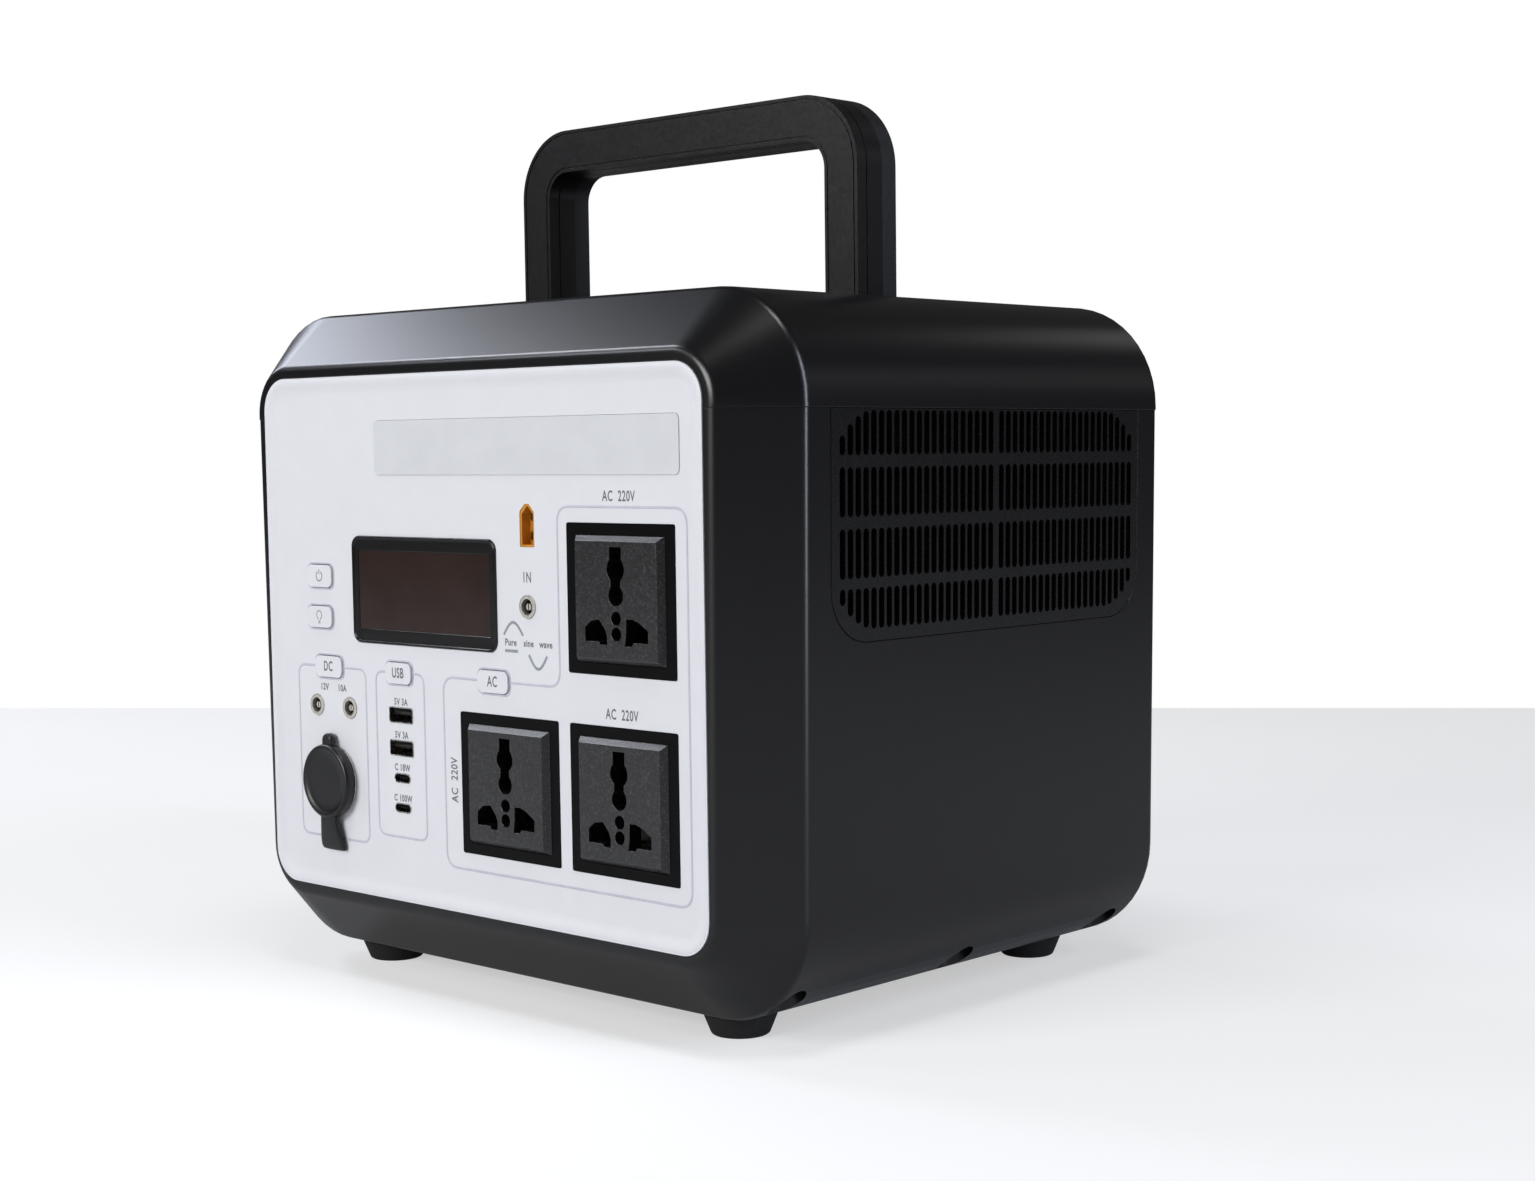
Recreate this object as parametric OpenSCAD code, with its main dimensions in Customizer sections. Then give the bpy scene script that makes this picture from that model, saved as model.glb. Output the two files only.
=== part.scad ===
// Portable power station: a chamfered plastic case with a panel of sockets and buttons on the
// front, a fixed handle on top, two side fans behind a slotted vent, and the battery and
// inverter inside. Millimetres, front towards -Y, origin on the ground under the middle.

/* [Case] */
// Width of the case
body_w = 276; // [274:1:282]
// Depth of the case
body_d = 229; // [227:1:236]
// Height of the case without feet and handle
body_h = 233.8; // [233:0.2:238]
// Radius of the long case edges seen from the front
corner_r = 37; // [35:1:39]
// How far the flat chamfer reaches back from the rim plane
chamfer = 20.4; // [19:0.2:21]
// Wall thickness of the case shells
wall = 3; // [2.5:0.1:3.2]
// Height of the line where the two shells meet
parting_z = 203.5; // [203:0.5:206]
// How much narrower each side is at the bottom
draft = 2; // [0:0.5:2.5]

/* [Front panel] */
// Width of the front panel
panel_w = 227; // [226.6:0.1:227.2]
// Height of the front panel
panel_h = 185; // [184.6:0.1:185.2]
// Thickness of the visible panel plate
panel_t = 3.3; // [3.2:0.1:3.5]
// Travel of every push button
button_travel = 0.8; // [0.6:0.1:1]

/* [Handle] */
// Height of the handle above the top of the case
handle_rise = 71.4; // [65:0.2:80]
// Width over both handle legs
handle_w = 172.8; // [170:0.2:176]
// Width of each handle leg
leg_w = 15; // [14:0.5:16]
// Depth of the handle from front to back
handle_d = 20.5; // [20:0.5:22]

/* [Feet] */
// Height of the rubber feet
foot_h = 8; // [7:0.5:10]
// Largest diameter of a foot
foot_dia = 26; // [24:1:28]

/* [Hidden] */

body_mid = foot_h + body_h / 2;
body_top = foot_h + body_h;
front_y = -body_d / 2;
rear_y = body_d / 2;
rim_inset = 24.5;
panel_shift = 0.8;
panel_z = body_mid + panel_shift - panel_h / 2;
panel_r = 12;
skin = 0.4;
gap = 0.2;
edge_fillet = 4;
corner_steps = 12;
fillet_steps = 4;
eps = 0.01;

// ---------- shapes shared by several pieces ----------

// One ring of points on a rounded rectangle at depth y, shrunk on every side by inset.
// Below the parting line the sides lean in by the draft.
function ring(y, inset) =
  let (r = corner_r - inset,
       cx = body_w / 2 - corner_r,
       cz = body_h / 2 - corner_r,
       mid = body_mid + panel_shift * max(inset, 0) / rim_inset)
  [for (c = [0:3]) for (s = [0:corner_steps])
    let (a = 90 * (c + s / corner_steps),
         sx = (c == 0 || c == 3) ? 1 : -1,
         sz = (c < 2) ? 1 : -1,
         z = mid + sz * cz + r * sin(a),
         lean = draft * max(0, parting_z - z) / (parting_z - foot_h),
         x = sx * (cx - lean) + r * cos(a))
    [x, y, z]];

// Depth and inset of the points that round an edge between two faces 45 degrees apart.
function fillet_points(y, inset, from) =
  [for (s = [0:fillet_steps])
    let (a = from + 45 * s / fillet_steps)
    [y - edge_fillet * cos(a), inset - edge_fillet * sin(a)]];

edge_t = edge_fillet * tan(22.5);
// Front half of the outer profile, from the rim plane over the chamfer to the side.
outer_half = concat(
  [[0, rim_inset + panel_shift]],
  fillet_points(edge_fillet, chamfer + edge_t, 0),
  fillet_points(chamfer + edge_t, edge_fillet, 45));
// The inner profile keeps one wall thickness from the outer one.
inner_line = chamfer + wall * sqrt(2);
inner_half = [[wall, inner_line - wall], [inner_line - wall, wall]];

function mirrored(profile) =
  [for (i = [len(profile) - 1:-1:0]) [body_d - profile[i][0], profile[i][1]]];

module loft(profile, grow) {
  rings = [for (p = profile) ring(front_y + p[0], p[1] - grow)];
  n = 4 * (corner_steps + 1);
  last = (len(rings) - 1) * n;
  points = [for (r = rings) for (p = r) p];
  sides = [for (k = [0:len(rings) - 2]) for (i = [0:n - 1])
    let (a = k * n + i, b = k * n + (i + 1) % n)
    each [[a, b, b + n], [a, b + n, a + n]]];
  front_cap = [[for (i = [n - 1:-1:0]) i]];
  rear_cap = [[for (i = [0:n - 1]) last + i]];
  polyhedron(points = points, faces = concat(sides, front_cap, rear_cap));
}

module case_wall(grow) {
  difference() {
    loft(concat(outer_half, mirrored(outer_half)), grow);
    loft(concat(inner_half, mirrored(inner_half)), grow);
  }
}

// A rounded rectangle drawn flat, centred on the origin.
module rrect(w, h, r) {
  square([w - 2 * r, h], center = true);
  square([w, h - 2 * r], center = true);
  for (x = [-1, 1]) {
    for (y = [-1, 1]) {
      translate([x * (w / 2 - r), y * (h / 2 - r)])
        circle(r = r, $fn = 32);
    }
  }
}

// Raises a flat drawing in panel coordinates (x, height over the panel's lower edge)
// into a plate between two depths.
module plate(y0, y1) {
  translate([0, y1, panel_z])
    rotate([90, 0, 0])
      linear_extrude(y1 - y0)
        children();
}

// A round bar along the depth, at panel coordinates.
module bar_y(x, z, d, y0, y1) {
  plate(y0, y1)
    translate([x, z])
      circle(d = d, $fn = 48);
}

// A block given by its lower and upper corners.
module block(low, high) {
  translate(low)
    cube(high - low);
}

// ---------- case ----------

// Screw wells that break through the rounded lower side edges.
well_x = 119.8;
well_ys = [-87, -2, 83];
well_r = 6.5;
well_top = 24;
boss_r = 9;
boss_top = 40;
screw_r = 2;
head_r = 4;
head_h = 3;
play = 0.02;
foot_x = 91;
foot_y = 78;
handle_y = -0.5;
handle_seam_y = 2.5;
leg_depth = 14;
leg_x = handle_w / 2 - leg_w / 2;
leg_bottom = body_top - wall - leg_depth;
handle_boss_h = 20;

module front_opening() {
  plate(front_y - 1, front_y + wall + 1)
    translate([0, panel_h / 2])
      rrect(panel_w + 2 * gap, panel_h + 2 * gap, panel_r + gap);
}

module rear_opening() {
  plate(rear_y - wall - 1, rear_y + 1)
    translate([0, panel_h / 2])
      rrect(panel_w + 2 * gap, panel_h + 2 * gap, panel_r + gap);
}

// The four places where a handle screw stands: two in each leg.
handle_screw_ys = [-5, 6];

module upper_shell() {
  color("#1b1c1f")
  difference() {
    union() {
      intersection() {
        case_wall(0);
        block([-body_w, -body_d, parting_z], [body_w, body_d, 2 * body_top]);
      }
      for (side = [-1, 1]) {
        translate([side * leg_x - leg_w / 2 - 5, handle_y - handle_d / 2 - 5,
                   body_top - wall - handle_boss_h])
          cube([leg_w + 10, handle_d + 10, handle_boss_h + 1]);
      }
    }
    front_opening();
    rear_opening();
    for (side = [-1, 1]) {
      translate([side * leg_x - leg_w / 2 - play, handle_y - handle_d / 2 - play, leg_bottom])
        cube([leg_w + 2 * play, handle_d + 2 * play, 2 * leg_depth]);
      for (y = handle_screw_ys) {
        translate([side * leg_x, y, 0])
          cylinder(r = screw_r + play, h = body_top, $fn = 32);
      }
    }
  }
}

// Angle of the side walls below the parting line.
lean = atan(draft / (parting_z - foot_h));

// Raises a drawing on the right side wall, (depth, height over the parting line), into a
// plate between two distances measured inwards from the wall's outer face.
module side_plate(from, to) {
  translate([body_w / 2 - skin, 0, parting_z])
    rotate([0, lean, 0])
      translate([-to, 0, 0])
        rotate([90, 0, 90])
          linear_extrude(to - from)
            children();
}

vent_w = 165.2;
vent_h = 73.3;
vent_bottom_r = 17;
flange = 2;
flange_t = 1.5;
seat_gap = 0.05;

// Outline of the vent insert: square at the parting line, rounded at the bottom.
module vent_outline(grow) {
  w = vent_w + 2 * grow;
  h = vent_h + grow;
  translate([0, -h / 2 - vent_bottom_r / 2])
    rrect(w, h - vent_bottom_r, vent_bottom_r);
  translate([-w / 2, -h / 2])
    square([w, h / 2 - 0.2]);
}

module both_sides() {
  children();
  mirror([1, 0, 0])
    children();
}

module lower_shell() {
  color("#1b1c1f")
  difference() {
    union() {
      intersection() {
        case_wall(-skin);
        block([-body_w, -body_d, 0], [body_w, body_d, parting_z]);
      }
      both_sides() {
        intersection() {
          for (y = well_ys) {
            translate([well_x, y, foot_h])
              cylinder(r = boss_r, h = boss_top - foot_h, $fn = 48);
          }
          loft(concat(outer_half, mirrored(outer_half)), -skin - 1);
        }
      }
    }
    front_opening();
    rear_opening();
    both_sides() {
      side_plate(-1, wall + 1)
        vent_outline(gap);
      for (y = well_ys) {
        translate([well_x, y, 0])
          cylinder(r = well_r, h = well_top, $fn = 48);
        translate([well_x, y, 0])
          cylinder(r = screw_r + play, h = boss_top + 1, $fn = 32);
      }
      for (y = [-foot_y, foot_y]) {
        translate([foot_x, y, 0])
          cylinder(r = screw_r + play, h = 2 * foot_h, $fn = 32);
      }
    }
  }
}

// ---------- vents ----------

columns = 21;
slot_pitch = 3.729;
slot_w = 2.6;
centre_gap = 1.528;
// Top and bottom of every row of slots, measured down from the parting line.
slot_rows = [[0.6, 14.9], [18.4, 34.1], [37.6, 53.4], [56.3, 69.5]];
slot_end_steps = 4;

// Outline of one slot with round ends.
function slot_points(x, top, bottom) =
  let (r = slot_w / 2)
  concat(
    [for (s = [0:slot_end_steps])
      [x + r * cos(180 * s / slot_end_steps), top - r + r * sin(180 * s / slot_end_steps)]],
    [for (s = [0:slot_end_steps])
      [x - r * cos(180 * s / slot_end_steps), bottom + r - r * sin(180 * s / slot_end_steps)]]);

module vent_slots() {
  for (side = [-1, 1]) {
    for (i = [0:columns - 1]) {
      x = side * slot_pitch * (centre_gap / 2 + i);
      // The outermost columns stop short at the rounded corners of the whole field.
      steps_in = max(0, i - columns + 5);
      short = 0.5 * steps_in * steps_in;
      for (row = slot_rows) {
        first = (row == slot_rows[0]);
        last = (row == slot_rows[len(slot_rows) - 1]);
        polygon(slot_points(x, -row[0] - (first ? short : 0), -row[1] + (last ? short : 0)));
      }
    }
  }
}

module vent_grille() {
  color("#18191b")
  difference() {
    union() {
      side_plate(0, wall + seat_gap)
        vent_outline(0);
      side_plate(wall + seat_gap, wall + flange_t)
        difference() {
          vent_outline(flange);
          vent_outline(-flange);
        }
    }
    side_plate(-1, wall + flange_t + 1)
      vent_slots();
  }
}

post_h = 1.4;

// Short posts behind the right vent take the lower screws of both fans.
module vent_grille_right() {
  vent_grille();
  color("#18191b")
    for (side = [-1, 1]) {
      at_fan(side)
        for (b = [-1, 1]) {
          translate([fan_hole, b * fan_hole, fan_t])
            difference() {
              cylinder(r = screw_r + 1.5, h = post_h, $fn = 32);
              translate([0, 0, -1])
                cylinder(r = screw_r + play, h = 2, $fn = 32);
            }
        }
    }
}

module vent_grille_left() {
  mirror([1, 0, 0])
    vent_grille();
}

// ---------- feet and case screws ----------

module rubber_feet() {
  color("#141414")
  both_sides() {
    for (y = [-foot_y, foot_y]) {
      translate([foot_x, y, 0])
        difference() {
          cylinder(d1 = 0.74 * foot_dia, d2 = foot_dia, h = foot_h + skin, $fn = 48);
          translate([0, 0, -1])
            cylinder(r = head_r + 0.5, h = foot_h / 2 + 1, $fn = 32);
          cylinder(r = screw_r + play, h = 2 * foot_h, $fn = 32);
        }
    }
  }
}

// A pan head screw standing with its head down, driven from below.
module screw(length) {
  difference() {
    union() {
      cylinder(r = head_r, h = head_h, $fn = 32);
      cylinder(r = screw_r, h = head_h + length, $fn = 32);
    }
    translate([0, 0, -1])
      cylinder(d = head_r, h = head_h / 2 + 1, $fn = 6);
  }
}

module foot_screws() {
  color("#8d8f93")
  both_sides() {
    for (y = [-foot_y, foot_y]) {
      translate([foot_x, y, foot_h / 2 - head_h])
        screw(foot_h / 2 + skin + wall);
    }
  }
}

module case_screws() {
  color("#8d8f93")
  both_sides() {
    for (y = well_ys) {
      translate([well_x, y, well_top - head_h])
        screw(boss_top - well_top + 2);
    }
  }
}

// ---------- handle ----------

handle_top = body_top + handle_rise;
bar_h = 15.7;
handle_r = 25;
handle_inner_r = 10;
line_w = 0.6;
line_depth = 0.4;

// The upright U of the handle seen from the front, shrunk on every side by inset.
module handle_outline(inset) {
  inner_w = handle_w - 2 * leg_w + 2 * inset;
  inner_top = handle_top - bar_h + inset;
  low = leg_bottom - 20;
  difference() {
    translate([0, (handle_top - inset + low) / 2])
      rrect(handle_w - 2 * inset, handle_top - inset - low, handle_r - inset);
    translate([0, (inner_top + low - 50) / 2])
      rrect(inner_w, inner_top - low + 50, handle_inner_r + inset);
    translate([-handle_w, low - 1])
      square([2 * handle_w, leg_bottom - low + 1]);
  }
}

module handle_plate(y0, y1) {
  translate([0, y1, 0])
    rotate([90, 0, 0])
      linear_extrude(y1 - y0)
        children();
}

// Pilot holes for the handle screws.
module handle_bores() {
  both_sides() {
    for (y = handle_screw_ys) {
      translate([leg_x, y, leg_bottom - 1])
        cylinder(r = screw_r + play, h = 17, $fn = 32);
    }
  }
}

module handle_front_shell() {
  front = handle_y - handle_d / 2;
  groove_y = handle_y - 5.5;
  color("#1d1e20")
  difference() {
    handle_plate(front, handle_seam_y)
      handle_outline(0);
    // A fine line runs along both edges of the front face and another around the sides.
    difference() {
      handle_plate(front - 1, front + line_depth)
        handle_outline(1.2);
      handle_plate(front - 2, front + 1)
        handle_outline(1.2 + line_w);
      block([-handle_w, front - 5, 0], [handle_w, front + 5, body_top + 0.5]);
    }
    difference() {
      handle_plate(groove_y, groove_y + line_w)
        handle_outline(-1);
      handle_plate(groove_y - 1, groove_y + 2)
        handle_outline(line_depth);
      block([-handle_w, -handle_d, 0], [handle_w, handle_d, body_top + 0.5]);
    }
    handle_bores();
  }
}

module handle_rear_shell() {
  color("#131416")
  difference() {
    handle_plate(handle_seam_y, handle_y + handle_d / 2)
      handle_outline(0);
    handle_bores();
  }
}

module handle_screws() {
  color("#8d8f93")
  both_sides() {
    for (y = handle_screw_ys) {
      translate([leg_x, y, body_top - wall - handle_boss_h - head_h])
        screw(handle_boss_h - leg_depth + 14);
    }
  }
}

// ---------- front panel ----------

plate_y = front_y - panel_t + wall;
face_y = plate_y + 0.8;
back_y = front_y + wall + 2;
lip = 3.5;
cut = 0.1;
free = 0.3;
chassis_y = front_y + 41;
chassis_t = 1.5;
pillar_x = 100;
pillar_zs = [9, 176];
pillar_d = 8;

// Socket positions on the panel: distance from the middle, height over its lower edge.
ac_spots = [[75.6, 110.5], [19.9, 45.4], [75.6, 45.4]];
ac_frame = [50, 48.6];
frame_r = 0.8;
usb_a_spots = [[-38, 66], [-38, 54.3]];
usb_c_spots = [[-38, 43.7], [-38, 33.1]];
usb_a_size = [13.3, 5.6];
usb_a_r = 0.8;
usb_c_size = [9, 3.4];
usb_c_r = 1.65;
dc_spots = [[-86.8, 66.65], [-67.3, 66.65], [30.8, 106.7]];
jack_d = 7.8;
car_spot = [-77.5, 39.6];
car_d = 21;
xt_spot = [31.1, 133.5];
diffuser_spot = [26.85, 159.6];
diffuser_size = [152.3, 18.9];
lcd_spot = [-24.05, 109.65];
lcd_size = [78.5, 37.9];
window_size = [71.7, 27.7];
button_spots = [
  ["power", -82.8, 113.7, 14.3, 8],
  ["light", -83.3, 98.9, 14.5, 7.7],
  ["dc", -78.8, 81, 15.6, 7.6],
  ["usb", -38.35, 80.8, 14.1, 7.4],
  ["ac", 12.7, 80.8, 15.6, 7.5]];
button_r = 2.5;

// Posts behind the panel that carry the control board and the USB board.
board_posts = [[-92, 125], [19, 125], [19, 90], [-68, 88], [-47.5, 60], [-28.5, 37]];

// Outline of the two-pole battery connector: a long box with a pointed upper end.
module xt_outline(grow) {
  w = 7 + 2 * grow;
  h = 14 + 2 * grow;
  polygon([[-w / 2, -h / 2], [w / 2, -h / 2], [w / 2, h / 2 - 2.5], [w / 2 - 2.5, h / 2],
           [2.5 - w / 2, h / 2], [-w / 2, h / 2 - 2.5]]);
}

module panel_cutouts() {
  translate(diffuser_spot)
    rrect(diffuser_size.x + 2 * cut, diffuser_size.y + 2 * cut, 2);
  translate(lcd_spot)
    rrect(lcd_size.x - 4, lcd_size.y - 4, 2);
  for (b = button_spots) {
    translate([b[1], b[2]])
      rrect(b[3] + 2 * free, b[4] + 2 * free, button_r + free);
  }
  for (p = ac_spots) {
    translate(p)
      rrect(ac_frame.x - 4, ac_frame.y - 4, 2);
  }
  for (p = usb_a_spots) {
    translate(p)
      rrect(usb_a_size.x + 2 * cut, usb_a_size.y + 2 * cut, usb_a_r + cut);
  }
  for (p = usb_c_spots) {
    translate(p)
      rrect(usb_c_size.x + 2 * cut, usb_c_size.y + 2 * cut, usb_c_r + cut);
  }
  for (p = dc_spots) {
    translate(p)
      circle(d = jack_d + 2 * cut, $fn = 48);
  }
  translate(car_spot)
    circle(d = car_d + 2 + 2 * cut, $fn = 48);
  translate(xt_spot)
    xt_outline(cut);
}

module front_panel() {
  color("#dddee2")
  difference() {
    union() {
      plate(plate_y, front_y + wall)
        translate([0, panel_h / 2])
          rrect(panel_w, panel_h, panel_r);
      plate(front_y + wall, back_y)
        translate([0, panel_h / 2])
          rrect(panel_w + 2.5, panel_h + 2.5, panel_r + 3);
      for (x = [-pillar_x, pillar_x]) {
        for (z = pillar_zs) {
          bar_y(x, z, pillar_d, back_y - 1, chassis_y);
        }
      }
      for (p = board_posts) {
        bar_y(p.x, p.y, 3, back_y - 1, board_y);
      }
    }
    plate(plate_y - 1, face_y)
      translate([0, panel_h / 2])
        rrect(panel_w - 2 * lip, panel_h - 2 * lip, panel_r - lip);
    plate(plate_y - 1, (plate_y + face_y) / 2)
      translate([0, panel_h / 2])
        rrect(panel_w - lip, panel_h - lip, panel_r - lip / 2);
    plate(plate_y - 1, back_y + 1)
      panel_cutouts();
    // Wide seats that take the flat borders of the display and the outlets.
    plate(plate_y - 1, face_y + 1.5) {
      translate(lcd_spot)
        rrect(lcd_size.x + 2 * cut, lcd_size.y + 2 * cut, 4);
      for (p = ac_spots) {
        translate(p)
          rrect(ac_frame.x + 2 * cut, ac_frame.y + 2 * cut, frame_r + cut);
      }
    }
    for (x = [-pillar_x, pillar_x]) {
      for (z = pillar_zs) {
        bar_y(x, z, 2 * (1.5 + play), chassis_y - 12, chassis_y + 1);
      }
    }
  }
}

module panel_screws() {
  color("#8d8f93")
  for (x = [-pillar_x, pillar_x]) {
    for (z = pillar_zs) {
      bar_y(x, z, 3, chassis_y - 10, chassis_y + chassis_t + 0.5);
      bar_y(x, z, 6, chassis_y + chassis_t, chassis_y + chassis_t + 2);
    }
  }
}

module rear_panel() {
  color("#1a1b1d") {
    plate(rear_y - wall, rear_y - 0.4)
      translate([0, panel_h / 2])
        rrect(panel_w, panel_h, panel_r);
    plate(rear_y - wall - 2, rear_y - wall)
      translate([0, panel_h / 2])
        rrect(panel_w + 2.5, panel_h + 2.5, panel_r + 3);
  }
}

// ---------- light and display ----------

module light_diffuser() {
  color("#d5dadd")
  difference() {
    union() {
      plate(face_y - 0.3, back_y)
        translate(diffuser_spot)
          rrect(diffuser_size.x, diffuser_size.y, 1.9);
      plate(back_y, back_y + 1.5)
        translate(diffuser_spot)
          rrect(diffuser_size.x + 5, diffuser_size.y + 5, 3);
    }
    plate(face_y + 1.5, back_y + 2)
      translate(diffuser_spot)
        rrect(diffuser_size.x - 3, diffuser_size.y - 3, 1);
  }
}

led_count = 18;

module led_board() {
  board_y = back_y + 1.5;
  color("#e8e8e0") {
    plate(board_y, board_y + 1.6)
      translate(diffuser_spot)
        square(diffuser_size, center = true);
    for (i = [0:led_count - 1]) {
      plate(board_y - 0.8, board_y)
        translate([diffuser_spot.x + 8 * (i - (led_count - 1) / 2), diffuser_spot.y])
          square(3.5, center = true);
    }
  }
}

module lcd_bezel() {
  color("#0c0c0e")
  difference() {
    union() {
      plate(face_y - 0.7, face_y + 1.5)
        translate(lcd_spot)
          rrect(lcd_size.x, lcd_size.y, 3.9);
      plate(face_y + 1.5, back_y)
        translate(lcd_spot)
          rrect(lcd_size.x - 4.2, lcd_size.y - 4.2, 1.9);
    }
    // The rim stands a little higher than the flat part around the window.
    plate(face_y - 2, face_y - 0.3)
      translate(lcd_spot)
        rrect(lcd_size.x - 1.6, lcd_size.y - 1.6, 3.1);
    plate(face_y - 2, back_y + 1)
      translate(lcd_spot)
        square(window_size, center = true);
  }
}

module lcd_window() {
  color("#34281f")
  plate(face_y - 0.1, face_y + 1.2)
    translate(lcd_spot)
      square(window_size, center = true);
}

module lcd_module() {
  color("#2b2b2b")
  plate(face_y + 1.2, back_y + 2)
    translate(lcd_spot)
      square(window_size - [0.4, 0.4], center = true);
}

// ---------- buttons ----------

board_y = front_y + 16;
board_t = 1.6;
switch_w = 6;
stem_d = 3.4;
button_proud = 0.8;

// One push button: cap, catching flange behind the panel and a stem into its switch.
module button(name) {
  b = [for (s = button_spots) if (s[0] == name) s][0];
  color("#e3e4e7") {
    plate(face_y - button_proud, back_y + free)
      translate([b[1], b[2]])
        rrect(b[3], b[4], button_r);
    plate(back_y + free, back_y + free + 1.5)
      translate([b[1], b[2]])
        rrect(b[3] + 2, b[4] + 2, button_r + 1);
    bar_y(b[1], b[2], stem_d, back_y + 1, board_y - 3);
  }
}

module power_button() {
  button("power");
}

module light_button() {
  button("light");
}

module dc_button() {
  button("dc");
}

module usb_button() {
  button("usb");
}

module ac_button() {
  button("ac");
}

module tact_switches() {
  color("#2a2a2c")
  for (b = button_spots) {
    difference() {
      plate(board_y - 4.5, board_y)
        translate([b[1], b[2]])
          square(switch_w, center = true);
      bar_y(b[1], b[2], stem_d + 0.2, board_y - 5, board_y - 3 + button_travel + free);
    }
  }
}

module control_board() {
  color("#1f4a2e") {
    block([-95, board_y, panel_z + 75], [22, board_y + board_t, panel_z + 130]);
    block([-60, board_y + board_t, panel_z + 85], [-30, board_y + board_t + 3, panel_z + 105]);
    block([-15, board_y + board_t, panel_z + 90], [5, board_y + board_t + 4, panel_z + 110]);
  }
}

// ---------- outlets ----------

block_size = 41;
block_face = 37.4;
block_proud = 2.3;
block_back = front_y + 22;
block_wall = 3;

module ac_frames() {
  color("#121214")
  for (p = ac_spots) {
    difference() {
      union() {
        plate(face_y - 0.2, face_y + 1.5)
          translate(p)
            rrect(ac_frame.x, ac_frame.y, frame_r);
        plate(face_y + 1.5, back_y)
          translate(p)
            rrect(ac_frame.x - 4.2, ac_frame.y - 4.2, 1.9);
      }
      plate(face_y - 1, back_y + 1)
        translate(p)
          square(block_size + 2 * cut, center = true);
    }
  }
}

// The openings of a universal outlet: a keyhole on top, two small holes and two side cuts.
module outlet_holes() {
  translate([-2.7, 9.8])
    square([5.4, 7.1]);
  translate([0, 9.8])
    circle(r = 4, $fn = 32);
  translate([-2.2, 1.5])
    square([4.4, 8.3]);
  translate([0, 1.5])
    circle(r = 3.35, $fn = 32);
  for (z = [-5.7, -10.7]) {
    translate([0, z])
      circle(r = 2.2, $fn = 32);
  }
  polygon([[-14.7, -13.4], [-8.1, -13.4], [-7.6, -14.3], [-4.4, -14.3], [-4.3, -11.3],
           [-5.2, -9.4], [-7.9, -6.3], [-11.6, -6.8], [-14.5, -8.9]]);
  polygon([[3.9, -14.4], [7.1, -14.3], [7.6, -13.2], [14.4, -13.2], [14.5, -9.2],
           [10.5, -6.8], [7.4, -5.7], [4.6, -5.8], [4.5, -10.5]]);
}

// The front of an insert block: a square that gets smaller towards the user on all sides.
module bevelled_front() {
  big = block_size / 2;
  small = block_face / 2;
  slope = [[-big, 0], [big, 0], [small, block_proud], [-small, block_proud]];
  rotate([90, 0, 0])
    intersection() {
      translate([0, big, 0])
        rotate([90, 0, 0])
          linear_extrude(2 * big)
            polygon(slope);
      translate([-big, 0, 0])
        rotate([90, 0, 90])
          linear_extrude(2 * big)
            polygon(slope);
    }
}

module ac_blocks() {
  color("#2b2b2d")
  for (p = ac_spots) {
    difference() {
      union() {
        translate([p.x, face_y, panel_z + p.y])
          bevelled_front();
        plate(face_y, block_back)
          translate(p)
            square(block_size, center = true);
        plate(back_y, back_y + 2)
          translate(p)
            square([ac_frame.x - 4, ac_frame.y - 4], center = true);
      }
      plate(face_y + block_wall, block_back + 1)
        translate(p)
          square(block_size - 2 * block_wall, center = true);
      plate(face_y - block_proud - 1, face_y + block_wall + 1)
        translate(p)
          outlet_holes();
    }
  }
}

// Sprung brass clips that stand behind the holes, two leaves for every pole.
module ac_contacts() {
  color("#c9a553")
  for (p = ac_spots) {
    plate(face_y + block_wall, block_back - 4)
      translate(p)
        for (x = [-11, 11]) {
          for (dz = [-5.4, 5.4]) {
            translate([x, dz - 10])
              square([6, 0.8], center = true);
          }
        }
    plate(face_y + block_wall, block_back - 4)
      translate(p)
        for (x = [-5, 5]) {
          translate([x, 9])
            square([0.8, 6], center = true);
        }
  }
}

// ---------- USB ports ----------

usb_sheet = 0.35;

module usb_shell(spots, size, r) {
  for (p = spots) {
    plate(face_y - 0.2, board_y)
      translate(p)
        difference() {
          rrect(size.x, size.y, r);
          rrect(size.x - 2 * usb_sheet, size.y - 2 * usb_sheet, r - usb_sheet);
        }
  }
}

module usb_a_shells() {
  color("#b9bbbf")
    usb_shell(usb_a_spots, usb_a_size, usb_a_r);
}

module usb_c_shells() {
  color("#b9bbbf")
    usb_shell(usb_c_spots, usb_c_size, usb_c_r);
}

module usb_a_tongues() {
  color("#f2f2f2")
  for (p = usb_a_spots) {
    plate(face_y + 1, board_y)
      translate([p.x, p.y + 1])
        square([10, 1.8], center = true);
  }
}

module usb_c_tongues() {
  color("#222326")
  for (p = usb_c_spots) {
    plate(face_y + 1, board_y)
      translate(p)
        square([6, 0.8], center = true);
  }
}

module usb_board() {
  color("#1f4a2e")
    block([-50, board_y, panel_z + 24], [-26, board_y + board_t, panel_z + 73]);
}

// ---------- low voltage connectors ----------

jack_end = back_y + 10;
jack_rim = 1.2;
jack_pin_d = 2.4;
jack_pin_y = face_y + 0.3;

module dc_jacks() {
  color("#a9a9a4")
  for (p = dc_spots) {
    difference() {
      union() {
        bar_y(p.x, p.y, jack_d, face_y - 0.5, jack_end);
        bar_y(p.x, p.y, jack_d + 3, back_y, back_y + 1.5);
      }
      bar_y(p.x, p.y, jack_d - 2 * jack_rim, face_y - 1, jack_end - 1.5);
    }
  }
}

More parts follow.
